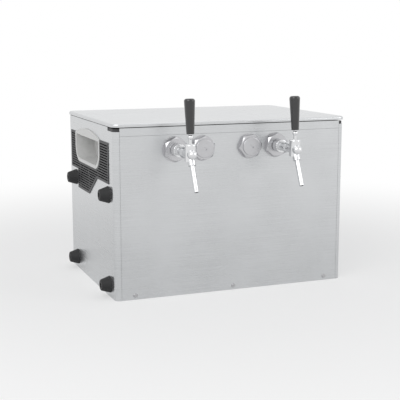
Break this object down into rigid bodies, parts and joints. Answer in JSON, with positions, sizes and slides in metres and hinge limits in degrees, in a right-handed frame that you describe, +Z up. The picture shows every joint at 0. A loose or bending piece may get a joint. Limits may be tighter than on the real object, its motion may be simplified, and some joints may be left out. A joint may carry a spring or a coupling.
{
  "type": "kegerator",
  "caption": "Counter-top beer cooler: stainless cabinet with hinged lid, lever taps, blanked ports, side grille and a chilled water bath.",
  "frame": {"origin": "centre of the cabinet's underside", "axes": "+X to the right seen from the taps, -Y out of the front towards the taps, +Z up"},
  "size_m": [0.6, 0.5672, 0.4583],
  "materials": {
    "brushed_stainless": "fine vertical brushed grain",
    "satin_steel": "satin turned metal",
    "inner_stainless": "plain mill finish",
    "galvanised_steel": "galvanised sheet",
    "fastener_steel": "plain steel",
    "dark_plastic": "fine moulded texture",
    "light_plastic": "fine moulded texture",
    "foam": "cut rigid foam",
    "black_rubber": "matt rubber",
    "black_enamel": "semi-gloss enamel",
    "motor_metal": "matt paint",
    "aluminium_fins": "thin plain fins",
    "copper": "dull drawn copper",
    "white_fitting": "moulded fitting",
    "polished_chrome": "polished plate",
    "handle_black": "polished moulding"
  },
  "bodies": {
    "cabinet": {"agitator_bridge": "inner_stainless", "agitator_motor": "motor_metal", "back_panel": "brushed_stainless", "base_pan": "galvanised_steel", "blank_plugs": "satin_steel", "buffer_screws": "fastener_steel", "cabinet_hinge_leaves": "fastener_steel", "compressor": "black_enamel", "compressor_grommets": "black_rubber", "compressor_studs": "fastener_steel", "condenser": "aluminium_fins", "deck": "dark_plastic", "evaporator_coil": "copper", "fan_motor": "motor_metal", "fan_shroud": "galvanised_steel", "filter_drier": "copper", "front_panel": "brushed_stainless", "front_rail": "brushed_stainless", "front_screws": "fastener_steel", "hinge_pins": "fastener_steel", "inner_tank": "inner_stainless", "insulation": "foam", "left_grille": "dark_plastic", "left_handle_cup": "light_plastic", "left_side_panel": "brushed_stainless", "port_nuts": "satin_steel", "power_inlet": "dark_plastic", "product_coil_1": "inner_stainless", "product_coil_2": "inner_stainless", "product_inlets": "white_fitting", "right_handle_cup": "light_plastic", "right_side_panel": "brushed_stainless", "side_buffers": "black_rubber", "tap_1_body": "polished_chrome", "tap_1_bonnet": "polished_chrome", "tap_1_shank": "polished_chrome", "tap_1_spout": "polished_chrome", "tap_2_body": "polished_chrome", "tap_2_bonnet": "polished_chrome", "tap_2_shank": "polished_chrome", "tap_2_spout": "polished_chrome", "tap_couplings": "polished_chrome", "thermostat": "light_plastic"},
    "lid": {"lid_shell": "brushed_stainless", "lid_liner": "light_plastic", "lid_gasket": "black_rubber", "lid_hinge_leaves": "fastener_steel"},
    "fan": {"fan_blade": "dark_plastic", "fan_shaft": "fastener_steel"},
    "agitator": {"agitator_shaft": "inner_stainless", "agitator_impeller": "light_plastic"},
    "dial": {"thermostat_dial": "dark_plastic"},
    "rocker": {"power_switch": "dark_plastic"},
    "tap_1_grip": {"tap_1_lever": "polished_chrome", "tap_1_handle": "handle_black"},
    "tap_1_valve": {"tap_1_plunger": "inner_stainless"},
    "tap_2_grip": {"tap_2_lever": "polished_chrome", "tap_2_handle": "handle_black"},
    "tap_2_valve": {"tap_2_plunger": "inner_stainless"}
  },
  "joints": [
    {"name": "lid_hinge", "type": "hinge", "parent": "cabinet", "child": "lid", "pos_m": [0, 0.212, 0.3915], "axis": [-1, 0, 0], "range_deg": [0, 95]},
    {"name": "fan_spin", "type": "hinge", "parent": "cabinet", "child": "fan", "pos_m": [-0.21, -0.08, 0.144], "axis": [1, 0, 0], "continuous": true},
    {"name": "agitator_spin", "type": "hinge", "parent": "cabinet", "child": "agitator", "pos_m": [0.094, 0, 0.2], "axis": [0, 0, 1], "continuous": true},
    {"name": "thermostat_turn", "type": "hinge", "parent": "cabinet", "child": "dial", "pos_m": [-0.185, 0.205, 0.3], "axis": [0, 1, 0], "range_deg": [0, 270]},
    {"name": "switch_rock", "type": "hinge", "parent": "cabinet", "child": "rocker", "pos_m": [-0.1695, 0.204, 0.07], "axis": [-1, 0, 0], "range_deg": [0, 18]},
    {"name": "tap_1_pull", "type": "hinge", "parent": "cabinet", "child": "tap_1_grip", "pos_m": [-0.1455, -0.305, 0.356], "axis": [1, 0, 0], "range_deg": [0, 35]},
    {"name": "tap_1_valve_slide", "type": "slide", "parent": "cabinet", "child": "tap_1_valve", "axis": [0, 1, 0], "range_m": [0, 0.0099]},
    {"name": "tap_2_pull", "type": "hinge", "parent": "cabinet", "child": "tap_2_grip", "pos_m": [0.1045, -0.305, 0.356], "axis": [1, 0, 0], "range_deg": [0, 35]},
    {"name": "tap_2_valve_slide", "type": "slide", "parent": "cabinet", "child": "tap_2_valve", "axis": [0, 1, 0], "range_m": [0, 0.0099]}
  ],
  "couplings": [
    {"joint": "tap_1_valve_slide", "follows": "tap_1_pull", "m_per_rad": 0.0162},
    {"joint": "tap_2_valve_slide", "follows": "tap_2_pull", "m_per_rad": 0.0162}
  ]
}
